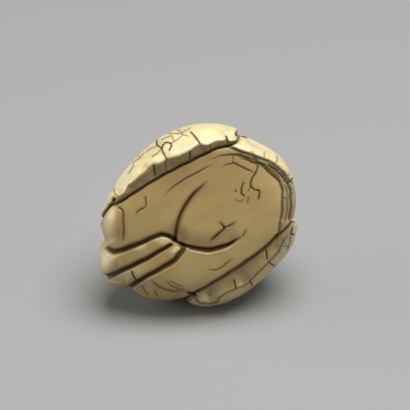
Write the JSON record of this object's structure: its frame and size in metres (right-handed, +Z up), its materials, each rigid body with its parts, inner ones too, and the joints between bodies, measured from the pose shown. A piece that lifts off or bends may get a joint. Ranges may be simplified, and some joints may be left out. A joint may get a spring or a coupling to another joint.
{
  "type": "netsuke",
  "caption": "Carved cord toggle in the form of a hatchling curled up inside its broken eggshell, with a plain domed back.",
  "frame": {"origin": "on the floor, below the middle of the piece's bounding box", "axes": "+Z up, the carved side faces -Y and leans back, +X to the right as seen from the carved side"},
  "size_m": [0.0422, 0.0274, 0.0414],
  "materials": {
    "ivory": "polished ivory, worn and yellowed, with dark stain in the carved lines and cracks"
  },
  "bodies": {
    "root": {"netsuke": "ivory"}
  },
  "joints": []
}
